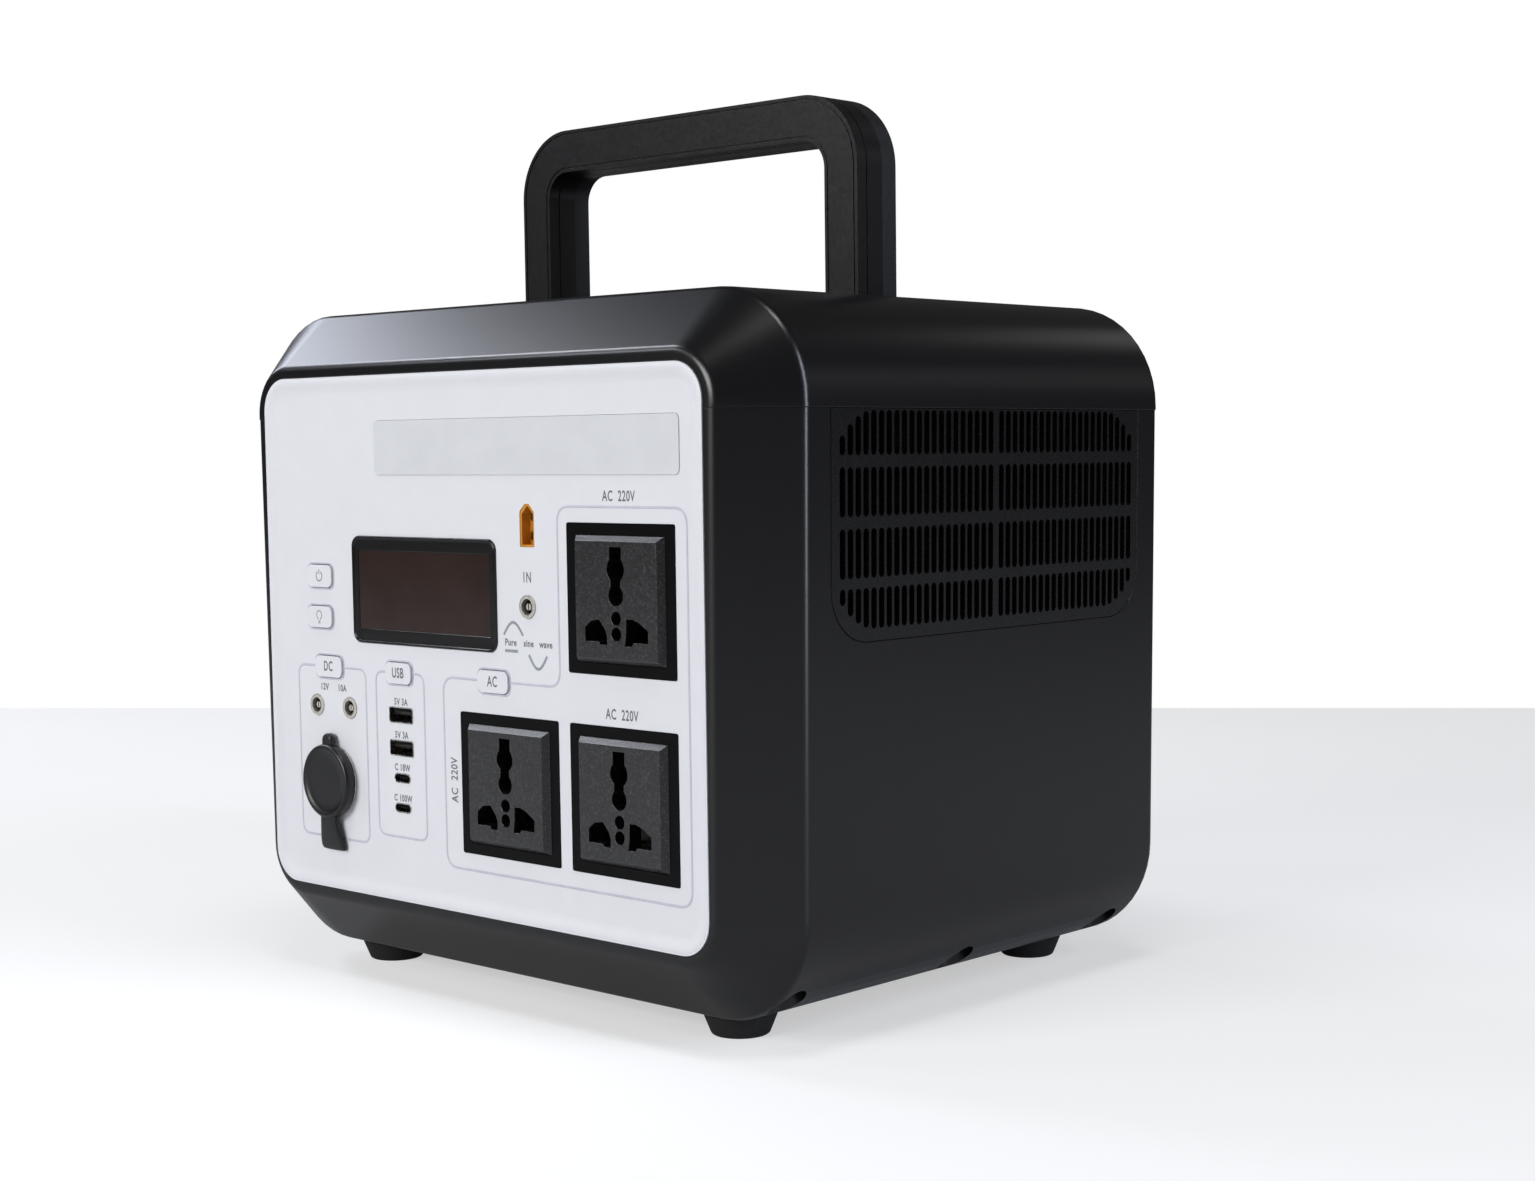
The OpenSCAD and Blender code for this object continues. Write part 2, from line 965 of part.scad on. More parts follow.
// The centre pins are slit lengthwise at the tip, so that they spring inside a plug.
module dc_jack_pins() {
  color("#a9a9a4")
  for (p = dc_spots) {
    difference() {
      bar_y(p.x, p.y, jack_pin_d, jack_pin_y, jack_end - 1.5);
      plate(jack_pin_y - 1, jack_pin_y + 4)
        translate(p)
          square([0.5, jack_pin_d + 1], center = true);
    }
  }
}

xt_end = back_y + 9;
xt_front = face_y + 0.3;
xt_floor = face_y + 3.8;
xt_wall = 0.7;
xt_contact_d = 3.6;
xt_contact_zs = [-3.4, 3];

module xt_housing() {
  color("#c8821e")
  difference() {
    union() {
      plate(xt_front, xt_end)
        translate(xt_spot)
          xt_outline(0);
      plate(back_y, back_y + 2)
        translate(xt_spot)
          xt_outline(1.5);
    }
    plate(xt_front - 1, xt_floor)
      translate(xt_spot)
        xt_outline(-xt_wall);
    for (dz = xt_contact_zs) {
      bar_y(xt_spot.x, xt_spot.y + dz, xt_contact_d + 2 * play, xt_floor - 1, xt_end - 3);
    }
  }
}

// Round sleeves that stand a little out of the connector's floor.
module xt_contacts() {
  color("#c9a553")
  for (dz = xt_contact_zs) {
    difference() {
      bar_y(xt_spot.x, xt_spot.y + dz, xt_contact_d, xt_floor - 0.8, xt_end - 3);
      bar_y(xt_spot.x, xt_spot.y + dz, xt_contact_d - 1.2, xt_floor - 2, xt_end - 5);
    }
  }
}

socket_end = chassis_y - 1;
socket_floor = 6;
contact_d = 8;
socket_flange = 0.8;
cap_d = 27;
cap_proud = 5;
cap_tab_w = 5.6;
cap_strap_w = 14;
cap_strap_t = 2.5;
cap_hinge_z = 19.15;

module car_socket() {
  color("#86888c")
  difference() {
    union() {
      bar_y(car_spot.x, car_spot.y, car_d + 2, face_y - 0.1, socket_end);
      bar_y(car_spot.x, car_spot.y, car_d + 5, face_y - socket_flange, face_y);
    }
    bar_y(car_spot.x, car_spot.y, car_d, face_y - 2, socket_end - socket_floor);
    bar_y(car_spot.x, car_spot.y, contact_d + 2 * play, socket_end - 2 * socket_floor, socket_end - 1.5);
  }
}

module car_socket_contact() {
  color("#c9a553")
    bar_y(car_spot.x, car_spot.y, contact_d, socket_end - socket_floor, socket_end - 1.5);
}

module socket_cap() {
  outer = face_y - cap_proud;
  inner = face_y - socket_flange - free;
  strap_y = inner - cap_strap_t;
  color("#191a1c") {
    bar_y(car_spot.x, car_spot.y, cap_d, outer, inner);
    plate(strap_y, inner)
      translate([car_spot.x - cap_tab_w / 2, car_spot.y])
        square([cap_tab_w, 17.4]);
    plate(strap_y, inner)
      translate([car_spot.x - cap_strap_w / 2, cap_hinge_z + free / 2])
        square([cap_strap_w, car_spot.y - cap_hinge_z - 1]);
  }
}

// The fixed end of the cap's strap, glued and plugged into the panel.
module cap_anchor() {
  color("#191a1c")
    plate(face_y - socket_flange - free - cap_strap_t, face_y)
      translate([car_spot.x - cap_strap_w / 2, 14])
        square([cap_strap_w, cap_hinge_z - free / 2 - 14]);
}

// ---------- battery ----------

cell_d = 32;
cell_l = 70.5;
cell_pitch = 32.6;
cell_columns = 6;
cell_rows = 3;
tray_bottom = 11.6;
tray_t = 1.5;
cell_z = tray_bottom + tray_t + 17.5;
layer_ys = [-66, 8];
holder_w = 198;
holder_t = 6;
strip_t = 0.8;
tray_half = 100.7;
tray_front = chassis_y + chassis_t;
tray_rear = 84;
inverter_z = 118;
post_x = 112;
post_ys = [-60, 78];

module at_cells() {
  for (i = [0:cell_columns - 1]) {
    for (k = [0:cell_rows - 1]) {
      translate([cell_pitch * (i - (cell_columns - 1) / 2), 0, cell_z + cell_pitch * k])
        rotate([-90, 0, 0])
          children();
    }
  }
}

module battery_cells() {
  color("#2f6fb0")
  for (y = layer_ys) {
    translate([0, y, 0])
      at_cells()
        cylinder(d = cell_d, h = cell_l, $fn = 48);
  }
}

module cell_holders() {
  top = cell_z + cell_pitch * (cell_rows - 1) + cell_d / 2 + 1.5;
  color("#2c2d30")
  for (y = layer_ys) {
    for (start = [y, y + cell_l - holder_t]) {
      difference() {
        block([-holder_w / 2, start, tray_bottom + tray_t], [holder_w / 2, start + holder_t, top]);
        translate([0, start - 1, 0])
          at_cells()
            cylinder(d = cell_d + 2 * play, h = holder_t + 2, $fn = 48);
      }
    }
  }
}

module cell_strips() {
  low = cell_z - 8;
  high = cell_z + cell_pitch * (cell_rows - 1) + 8;
  color("#b7a98c")
  for (y = layer_ys) {
    for (start = [y - strip_t, y + cell_l]) {
      for (i = [0:cell_columns - 1]) {
        x = cell_pitch * (i - (cell_columns - 1) / 2);
        block([x - 9, start, low], [x + 9, start + strip_t, high]);
      }
    }
  }
}

module battery_bracket() {
  color("#9da1a6")
  difference() {
    union() {
      block([-tray_half, tray_front, tray_bottom], [tray_half, tray_rear, tray_bottom + tray_t]);
      block([-tray_half, tray_rear - tray_t, tray_bottom], [tray_half, tray_rear, 60]);
      both_sides() {
        block([tray_half - tray_t, tray_front + 3, tray_bottom],
              [tray_half, tray_rear, boss_top + tray_t]);
        block([tray_half - tray_t, tray_front + 3, boss_top],
              [well_x + 8, tray_rear + 8, boss_top + tray_t]);
        block([well_x - 12, tray_front - 25, boss_top],
              [well_x + 8, tray_front + 4, boss_top + tray_t]);
        for (y = post_ys) {
          translate([post_x, y, boss_top])
            cylinder(d = 8, h = inverter_z - boss_top, $fn = 32);
        }
      }
    }
    both_sides() {
      for (y = well_ys) {
        translate([well_x, y, boss_top - 1])
          cylinder(r = screw_r + play, h = 4, $fn = 32);
      }
    }
  }
}

module bms_board() {
  color("#17365c") {
    block([-85, tray_rear, 20], [85, tray_rear + board_t, 108]);
    for (x = [-70, -45, -20, 20, 45, 70]) {
      block([x - 6, tray_rear + board_t, 60], [x + 6, tray_rear + board_t + 5, 76]);
    }
  }
}

module main_cables() {
  color("#b3261e")
  for (x = [-24, 24]) {
    translate([x, tray_rear + board_t + 3, 92])
      cylinder(r = 3, h = inverter_z - 92, $fn = 32);
  }
}

// ---------- chassis and inverter ----------

module chassis_plate() {
  color("#9da1a6")
  difference() {
    block([-104, chassis_y, tray_bottom], [104, chassis_y + chassis_t, panel_z + 181]);
    for (x = [-pillar_x, pillar_x]) {
      for (z = pillar_zs) {
        bar_y(x, z, 3 + 2 * play, chassis_y - 1, chassis_y + chassis_t + 1);
      }
    }
    block([-101, chassis_y - 1, 0], [101, chassis_y + 5, tray_bottom + 0.5]);
    block([-40, chassis_y - 1, 130], [40, chassis_y + 5, 170]);
  }
}

inverter_top = inverter_z + 2;
sink_w = 40;
sink_h = 45;
fin_count = 9;

module inverter_board() {
  color("#1f4a2e")
    block([-118, tray_front + 2, inverter_z], [118, 96, inverter_top]);
}

// Two aluminium heatsinks with upright fins running from front to back.
module heatsinks() {
  color("#b4b7bb")
  for (x = [-108, 56]) {
    block([x, -62, inverter_top], [x + sink_w, 84, inverter_top + 5]);
    for (i = [0:fin_count - 1]) {
      fin_x = x + i * (sink_w - 2) / (fin_count - 1);
      block([fin_x, -62, inverter_top + 5 - eps], [fin_x + 2, 84, inverter_top + sink_h]);
    }
  }
}

module transformer() {
  color("#3b3b3e") {
    block([-50, -58, inverter_top], [20, -46, inverter_top + 50]);
    block([-50, -4, inverter_top], [20, 8, inverter_top + 50]);
    block([-50, -46, inverter_top], [-36, -4, inverter_top + 50]);
    block([6, -46, inverter_top], [20, -4, inverter_top + 50]);
    translate([-15, -25, inverter_top])
      cylinder(r = 20, h = 48, $fn = 48);
  }
}

module inductors() {
  color("#8c5a2b")
  for (p = [[38, -40], [38, 0], [38, 40]]) {
    translate([p.x, p.y, inverter_top + 7])
      rotate_extrude($fn = 48)
        translate([9, 0])
          circle(r = 7, $fn = 24);
  }
}

module capacitors() {
  color("#23262e")
  for (x = [-48, -20, 8]) {
    for (y = [30, 62]) {
      translate([x, y, inverter_top])
        cylinder(d = 25, h = 45, $fn = 48);
    }
  }
}

// ---------- fans ----------

fan_size = 80;
fan_t = 25;
fan_x = 107;
fan_z = 172.7;
fan_y = 42;
fan_bore = 76;
fan_hole = 35.75;
hub_r = 18;
blade_count = 7;
axle_r = 1.5;

// Places a child whose axis runs along +Z so that it runs along +X at a fan's middle.
module at_fan(side) {
  translate([fan_x, side * fan_y, fan_z])
    rotate([0, 90, 0])
      children();
}

module fan_frames() {
  color("#1d1e20")
  for (side = [-1, 1]) {
    at_fan(side)
      difference() {
        union() {
          difference() {
            translate([-fan_size / 2, -fan_size / 2, 0])
              cube([fan_size, fan_size, fan_t]);
            translate([0, 0, -1])
              cylinder(d = fan_bore, h = fan_t + 2, $fn = 64);
          }
          cylinder(r = hub_r, h = 3, $fn = 48);
          for (a = [45:90:315]) {
            rotate([0, 0, a])
              translate([hub_r - 2, -2, 0])
                cube([fan_bore / 2 - hub_r + 4, 4, 3]);
          }
        }
        translate([0, 0, -1])
          cylinder(r = axle_r + 0.05, h = 5, $fn = 32);
        for (a = [-1, 1]) {
          for (b = [-1, 1]) {
            translate([a * fan_hole, b * fan_hole, -1])
              cylinder(r = screw_r + play, h = fan_t + 2, $fn = 32);
          }
        }
      }
  }
}

module fan_rotor(side) {
  color("#101113")
    at_fan(side) {
      translate([0, 0, 4])
        cylinder(r = hub_r, h = fan_t - 6, $fn = 48);
      translate([0, 0, 0.5])
        cylinder(r = axle_r, h = 4, $fn = 32);
      intersection() {
        for (i = [0:blade_count - 1]) {
          rotate([0, 0, 360 * i / blade_count])
            translate([hub_r - 2, 0, 4 + (fan_t - 6) / 2])
              rotate([40, 0, 0])
                translate([0, -11, -0.8])
                  cube([fan_bore / 2 - hub_r + 4, 22, 1.6]);
        }
        translate([0, 0, 4])
          cylinder(d = fan_bore - 2.4, h = fan_t - 6, $fn = 64);
      }
    }
}

module fan_rotor_front() {
  fan_rotor(-1);
}

module fan_rotor_rear() {
  fan_rotor(1);
}

module fan_screws() {
  color("#8d8f93")
  for (side = [-1, 1]) {
    at_fan(side)
      for (b = [-1, 1]) {
        translate([fan_hole, b * fan_hole, -head_h])
          screw(fan_t + 0.9);
      }
  }
}

upper_shell();
lower_shell();
front_panel();
rear_panel();
vent_grille_right();
vent_grille_left();
handle_front_shell();
handle_rear_shell();
handle_screws();
rubber_feet();
foot_screws();
case_screws();
panel_screws();
light_diffuser();
led_board();
lcd_bezel();
lcd_window();
lcd_module();
power_button();
light_button();
dc_button();
usb_button();
ac_button();
tact_switches();
control_board();
ac_frames();
ac_blocks();
ac_contacts();
usb_a_shells();
usb_a_tongues();
usb_c_shells();
usb_c_tongues();
usb_board();
dc_jacks();
dc_jack_pins();
xt_housing();
xt_contacts();
car_socket();
car_socket_contact();
socket_cap();
cap_anchor();
chassis_plate();
battery_cells();
cell_holders();
cell_strips();
battery_bracket();
bms_board();
inverter_board();
heatsinks();
transformer();
inductors();
capacitors();
fan_frames();
fan_rotor_front();
fan_rotor_rear();
fan_screws();
main_cables();
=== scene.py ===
import math
import bpy
from mathutils import Matrix, Vector


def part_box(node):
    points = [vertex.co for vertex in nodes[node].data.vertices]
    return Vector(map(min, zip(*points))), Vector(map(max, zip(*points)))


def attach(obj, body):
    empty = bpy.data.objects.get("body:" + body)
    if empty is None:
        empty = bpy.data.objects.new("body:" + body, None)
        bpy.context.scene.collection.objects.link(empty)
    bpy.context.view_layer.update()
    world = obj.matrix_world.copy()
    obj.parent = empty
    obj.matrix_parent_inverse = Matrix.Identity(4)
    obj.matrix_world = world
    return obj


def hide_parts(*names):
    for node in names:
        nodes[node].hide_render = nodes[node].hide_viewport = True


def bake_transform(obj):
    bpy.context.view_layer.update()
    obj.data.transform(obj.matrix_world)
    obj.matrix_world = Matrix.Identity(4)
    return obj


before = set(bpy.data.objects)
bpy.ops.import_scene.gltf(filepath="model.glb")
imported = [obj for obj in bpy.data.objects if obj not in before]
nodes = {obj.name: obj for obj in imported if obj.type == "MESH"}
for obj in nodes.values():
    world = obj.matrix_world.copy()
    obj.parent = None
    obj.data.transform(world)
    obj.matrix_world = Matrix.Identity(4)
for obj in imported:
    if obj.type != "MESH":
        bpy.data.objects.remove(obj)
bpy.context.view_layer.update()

MM = 0.001


# ---------- driving values ----------

# Places on the panel are in millimetres, across from its middle and up from its lower edge.
# A hidden flange stands out round the panel's visible edge, and its flat face lies a little
# behind the raised edge.
FLANGE = 1.25
FACE_DEPTH = 0.8
PANEL_LOW, PANEL_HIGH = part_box("front_panel")
FACE_Y = PANEL_LOW.y + FACE_DEPTH * MM
PANEL_Z = PANEL_LOW.z + FLANGE * MM
PANEL_HALF_W = (PANEL_HIGH.x - PANEL_LOW.x) / 2 / MM - FLANGE
PANEL_H = (PANEL_HIGH.z - PANEL_LOW.z) / MM - 2 * FLANGE
PANEL_R = 12

# Raised lines round the groups, and the height of the row of tab buttons.
TAB_Z = 81
LINE_W = 0.9
LINE_H = 0.14

# Push buttons: how far they stand out, their hidden flange, and the raised ring round them.
BUTTON_PROUD = 0.8
BUTTON_FLANGE = 1
RING_GAP = 0.65
RING_R = 3.1
RING_W = 0.6
RING_H = 0.2

# Printed marks and letters.
INK_H = 0.02
MARK_W = 0.4
FINE_MARK_W = 0.36
WAVE_W = 1
BUTTON_LETTER_H = 3.6
LABEL_H = 3.4
BIG_LABEL_H = 3.5
SMALL_LABEL_H = 2.4
WAVE_LABEL_H = 2.3
NARROW = 0.72
MEDIUM = 0.8
BROAD = 0.85
BROADEST = 0.9
FONT_PER_HEIGHT = 1.4
LETTER_BOLD = 0.09 * MM

# Rubber cap of the car socket: the middle of its disc, and its pull tab.
CAP_X = -77.5
CAP_Z = 39.6
CAP_STEPS = 64
CAP_TAB_RISE = 14.6
CAP_TAB_STRETCH = 6
STRAP_STEPS = 20

# The camera: metres, radians, and the shift as a share of the picture's width.
CAMERA_PLACE = Vector((0.6138, -0.6166, 0.1908))
CAMERA_YAW = math.radians(42.27)
CAMERA_PITCH = math.radians(4.82)
CAMERA_ROLL = math.radians(-0.62)
CAMERA_LENS = 54.48
CAMERA_SENSOR = 36
CAMERA_SHIFT_X = -0.0286645
CAMERA_SHIFT_Y = 0.0353746

# The floor's far edge, in metres from the camera, and how far the floor reaches.
FLOOR_EDGE = 1.706
FLOOR_TURN = math.radians(5.5)
FLOOR_HALF_W = 6
FLOOR_DEPTH = 8

# Brightness of the room and the floor, as light that bounces and as the camera sees it.
ROOM_LIGHT = 0.06
ROOM_LOOK = 1
FLOOR_LIGHT = 0.04
FLOOR_LOOK = 0.5

WHITE = (1, 1, 1)
COOL = (0.93, 0.96, 1.05)
COOLER = (0.9, 0.95, 1.1)
MIDDLE = (0, 0, 0.2)

# Name, place, target, width, height, watts and colour of each soft light.
LIGHTS = [
    ("front", (-0.3, -2.3, 0.9), (0, 0, 0.13), 1.4, 0.9, 40, WHITE),
    ("upper_left", (-1.87, 0.04, 1.17), MIDDLE, 0.55, 0.65, 7, COOLER),
    ("high_left", (-1.46, -0.4, 1.56), MIDDLE, 0.4, 0.4, 7, COOL),
    ("left_front", (-1.3, -1.1, 1.1), MIDDLE, 0.35, 0.35, 3, COOL),
    ("upper_rear", (0.2, 1.8, 1.3), MIDDLE, 0.5, 0.4, 0.4, WHITE),
    ("right_rear", (1.35, 1.4, 0.8), MIDDLE, 1.2, 0.4, 0.35, WHITE),
    ("right_strip", (1.7, 0.12, 0.7), MIDDLE, 0.45, 1.6, 20, COOLER),
    ("overhead", (0.45, -0.36, 1.85), (0.1, -0.1, 0.23), 0.5, 0.5, 7, WHITE),
]


# ---------- camera, floor and light ----------

def add_camera():
    """The camera that sees the object's front and right side."""
    flat = math.cos(CAMERA_PITCH)
    forward = Vector((-math.sin(CAMERA_YAW) * flat, math.cos(CAMERA_YAW) * flat, -math.sin(CAMERA_PITCH)))
    level = forward.cross(Vector((0, 0, 1))).normalized()
    upright = level.cross(forward)
    right = level * math.cos(CAMERA_ROLL) + upright * math.sin(CAMERA_ROLL)
    up = upright * math.cos(CAMERA_ROLL) - level * math.sin(CAMERA_ROLL)
    data = bpy.data.cameras.new("camera")
    data.sensor_width = CAMERA_SENSOR
    data.lens = CAMERA_LENS
    data.shift_x = CAMERA_SHIFT_X
    data.shift_y = CAMERA_SHIFT_Y
    data.clip_start = 0.01
    camera = bpy.data.objects.new("camera", data)
    place = Matrix((right, up, -forward)).transposed().to_4x4()
    place.translation = CAMERA_PLACE
    camera.matrix_world = place
    bpy.context.scene.collection.objects.link(camera)
    bpy.context.scene.camera = camera


def add_area(name, place, target, width, height, power, colour):
    data = bpy.data.lights.new(name, "AREA")
    data.shape = "RECTANGLE"
    data.size = width
    data.size_y = height
    data.energy = power
    data.color = colour
    light = bpy.data.objects.new(name, data)
    light.location = place
    light.rotation_euler = (Vector(target) - Vector(place)).to_track_quat("-Z", "Y").to_euler()
    bpy.context.scene.collection.objects.link(light)


def add_floor():
    """A pale floor whose far edge is level in the camera's view, a little behind the object."""
    away = Vector((-math.sin(CAMERA_YAW), math.cos(CAMERA_YAW), 0))
    # The far edge is turned a little, so that it looks level although the camera is rolled.
    across = Vector((away.y, -away.x, 0)) * math.cos(FLOOR_TURN) - away * math.sin(FLOOR_TURN)
    edge = Vector((CAMERA_PLACE.x, CAMERA_PLACE.y, 0)) + away * FLOOR_EDGE
    side = across * FLOOR_HALF_W
    reach = away * FLOOR_DEPTH
    corners = [edge - side, edge + side, edge + side - reach, edge - side - reach]
    mesh = bpy.data.meshes.new("floor")
    mesh.from_pydata(corners, [], [(3, 2, 1, 0)])
    floor = bpy.data.objects.new("floor", mesh)
    bpy.context.scene.collection.objects.link(floor)
    mesh.materials.append(floor_material())


def add_world():
    """White to look at, but dimmer as a light, so that the black case stays dark."""
    world = bpy.data.worlds.new("studio")
    world.use_nodes = True
    tree = world.node_tree
    background = tree.nodes["Background"]
    background.inputs["Color"].default_value = (1, 1, 1, 1)
    tree.links.new(camera_only(tree, ROOM_LIGHT, ROOM_LOOK), background.inputs["Strength"])
    bpy.context.scene.world = world
    bpy.context.scene.view_settings.view_transform = "Standard"


# ---------- materials ----------

# Depth of the moulded grain, and noise scales in cells per metre.
GRAIN_DEPTH = 0.2 * MM
TONE_SCALE = 120
GLOSS_SCALE = 700

# Plastics, rubbers and boards: name, darker and lighter colour as 0 to 255 display values, lowest
# and highest roughness, scale of the grain and strength of the grain.
PLASTICS = {
    "case": ("case_plastic", (9, 9, 11), (10, 10, 12), (0.275, 0.285), 4000, 0.01),
    "vent": ("vent_plastic", (10, 10, 11), (12, 12, 13), (0.25, 0.3), 2200, 0.03),
    "handle": ("handle_plastic", (4, 4, 5), (5, 5, 6), (0.32, 0.38), 1500, 0.08),
    "handle_rear": ("handle_rear_plastic", (18, 18, 21), (24, 24, 28), (0.4, 0.5), 1500, 0.12),
    "panel": ("panel_white", (220, 221, 226), (222, 223, 228), (0.42, 0.46), 1600, 0.04),
    "bezel": ("display_bezel", (6, 6, 7), (8, 8, 9), (0.15, 0.2), 1500, 0.02),
    "orange": ("connector_orange", (196, 126, 28), (212, 142, 38), (0.35, 0.5), 1500, 0.05),
    "rubber": ("cap_rubber", (8, 8, 9), (11, 11, 12), (0.32, 0.38), 1300, 0.06),
    "foot": ("foot_rubber", (13, 13, 14), (18, 18, 19), (0.65, 0.8), 900, 0.25),
    "dark": ("black_plastic", (14, 14, 16), (20, 20, 22), (0.4, 0.55), 1200, 0.1),
    "white": ("white_plastic", (222, 222, 220), (232, 232, 230), (0.4, 0.5), 1200, 0.05),
    "board": ("circuit_board", (22, 70, 42), (30, 86, 52), (0.3, 0.45), 900, 0.08),
    "blue_board": ("blue_board", (18, 44, 88), (26, 56, 104), (0.3, 0.45), 900, 0.08),
    "cell": ("cell_sleeve", (36, 92, 150), (46, 106, 166), (0.3, 0.4), 700, 0.05),
    "core": ("iron_core", (52, 52, 56), (66, 66, 70), (0.5, 0.7), 900, 0.2),
    "red": ("red_cable", (168, 34, 28), (182, 44, 36), (0.45, 0.55), 900, 0.05),
}

# Metals, with the same columns.
METALS = {
    "brass": ("brass", (196, 158, 84), (212, 176, 100), (0.25, 0.4), 800, 0.05),
    # Brass darkened as painted shade, for the contacts deep inside the outlet slots.
    "shaded_brass": ("brass_in_painted_shade", (70, 58, 34), (88, 72, 42), (0.5, 0.6), 800, 0.05),
    "nickel": ("nickel", (176, 174, 168), (200, 198, 192), (0.18, 0.32), 800, 0.05),
    "steel": ("sheet_steel", (150, 154, 158), (172, 175, 178), (0.35, 0.5), 700, 0.1),
    "screw": ("screw_steel", (96, 97, 100), (120, 121, 124), (0.3, 0.5), 700, 0.1),
    "aluminium": ("aluminium", (176, 178, 182), (196, 198, 200), (0.3, 0.45), 900, 0.08),
    "copper": ("copper_winding", (156, 88, 46), (176, 104, 58), (0.3, 0.45), 900, 0.1),
}

# Outlet frames are the darkest plastic, with the same columns.
OUTLET = ("outlet_frame", (3, 3, 4), (4, 4, 5), (0.3, 0.32), 3000, 0.01)
OUTLET_SPECULAR = 0.12

# Printing inks, and the painted shade of the raised lines: name and colour.
INKS = {
    # The raised lines are panel plastic; this lavender grey, darker than the panel, is painted shade.
    "outline": ("raised_line_shade", (196, 195, 209)),
    "label": ("label_ink", (104, 105, 111)),
    "wave": ("wave_ink", (146, 152, 158)),
}


def srgb(*colour):
    """A colour given as 0 to 255 display values, as the linear values a shader takes."""
    def linear(v):
        v = v / 255
        return v / 12.92 if v <= 0.04045 else ((v + 0.055) / 1.055) ** 2.4
    return tuple(linear(v) for v in colour) + (1,)


def grey(v):
    return (v, v, v, 1)


def new_material(name):
    material = bpy.data.materials.new(name)
    material.use_nodes = True
    tree = material.node_tree
    shader = tree.nodes["Principled BSDF"]
    return material, tree, shader


def add_noise(tree, scale, detail=3):
    """A noise texture in object coordinates, which are metres on every piece."""
    place = tree.nodes.new("ShaderNodeTexCoord")
    noise = tree.nodes.new("ShaderNodeTexNoise")
    noise.inputs["Scale"].default_value = scale
    noise.inputs["Detail"].default_value = detail
    tree.links.new(place.outputs["Object"], noise.inputs["Vector"])
    return noise.outputs["Fac"]


def ramp(tree, value, low, high, start=0.3, end=0.7):
    """Maps a 0 to 1 value to a range of numbers or colours."""
    node = tree.nodes.new("ShaderNodeValToRGB")
    node.color_ramp.elements[0].position = start
    node.color_ramp.elements[1].position = end
    node.color_ramp.elements[0].color = low
    node.color_ramp.elements[1].color = high
    tree.links.new(value, node.inputs["Fac"])
    return node.outputs["Color"]


def add_bump(tree, shader, height, strength):
    bump = tree.nodes.new("ShaderNodeBump")
    bump.inputs["Strength"].default_value = strength
    bump.inputs["Distance"].default_value = GRAIN_DEPTH
    tree.links.new(height, bump.inputs["Height"])
    tree.links.new(bump.outputs["Normal"], shader.inputs["Normal"])


def colour_by(tree, shader, value, low, high, start=0.3, end=0.7):
    """Colours the surface between two colours, by a 0 to 1 value."""
    tree.links.new(ramp(tree, value, low, high, start, end), shader.inputs["Base Color"])


def roughness_by(tree, shader, value, low, high):
    tree.links.new(ramp(tree, value, grey(low), grey(high)), shader.inputs["Roughness"])


def moulded(name, dark, light, rough, grain, bump, metallic=0, specular=0.5):
    """Plastic, rubber or metal: a little colour variation, uneven gloss and a fine grain."""
    material, tree, shader = new_material(name)
    colour_by(tree, shader, add_noise(tree, TONE_SCALE), srgb(*dark), srgb(*light))
    roughness_by(tree, shader, add_noise(tree, GLOSS_SCALE, 5), *rough)
    add_bump(tree, shader, add_noise(tree, grain, 2), bump)
    shader.inputs["Metallic"].default_value = metallic
    shader.inputs["Specular IOR Level"].default_value = specular
    return material


def camera_only(tree, low, high):
    """One value for light that bounces off and another for the camera's own view."""
    path = tree.nodes.new("ShaderNodeLightPath")
    strength = tree.nodes.new("ShaderNodeMapRange")
    strength.inputs["To Min"].default_value = low
    strength.inputs["To Max"].default_value = high
    tree.links.new(path.outputs["Is Camera Ray"], strength.inputs["Value"])
    return strength.outputs["Result"]


def floor_material():
    material, tree, shader = new_material("pale_floor")
    colour_by(tree, shader, add_noise(tree, 2), grey(0.5), grey(0.53))
    shader.inputs["Roughness"].default_value = 0.8
    shader.inputs["Emission Color"].default_value = (1, 1, 1, 1)
    tree.links.new(camera_only(tree, FLOOR_LIGHT, FLOOR_LOOK), shader.inputs["Emission Strength"])
    return material


def sparkle_material():
    """Spark-eroded black plastic of the outlet blocks: coarse grain, with bright flecks painted into the
    colour as glints.
    """
    material, tree, shader = new_material("outlet_block")
    grain = add_noise(tree, 1500, 4)
    # The lighter flecks are painted glints; the same noise also gives the real grain through the bump.
    colour_by(tree, shader, grain, srgb(4, 4, 5), srgb(56, 56, 60), 0.53, 0.7)
    roughness_by(tree, shader, add_noise(tree, 1500, 4), 0.26, 0.38)
    shader.inputs["Specular IOR Level"].default_value = 0.6
    shader.inputs["Coat Weight"].default_value = 0.4
    shader.inputs["Coat Roughness"].default_value = 0.22
    add_bump(tree, shader, grain, 0.2)
    return material


def diffuser_material():
    """Frosted light cover: milky and a little darker than the panel."""
    material, tree, shader = new_material("diffuser")
    colour_by(tree, shader, add_noise(tree, 90), srgb(206, 208, 211), srgb(211, 213, 216))
    shader.inputs["Roughness"].default_value = 0.45
    add_bump(tree, shader, add_noise(tree, 1200, 2), 0.08)
    return material


def window_material():
    """Tinted display window: smoky brown and glossy."""
    material, tree, shader = new_material("display_window")
    colour_by(tree, shader, add_noise(tree, 60), srgb(42, 30, 26), srgb(48, 35, 32))
    roughness_by(tree, shader, add_noise(tree, 500, 4), 0.12, 0.16)
    shader.inputs["Specular IOR Level"].default_value = 0.3
    return material


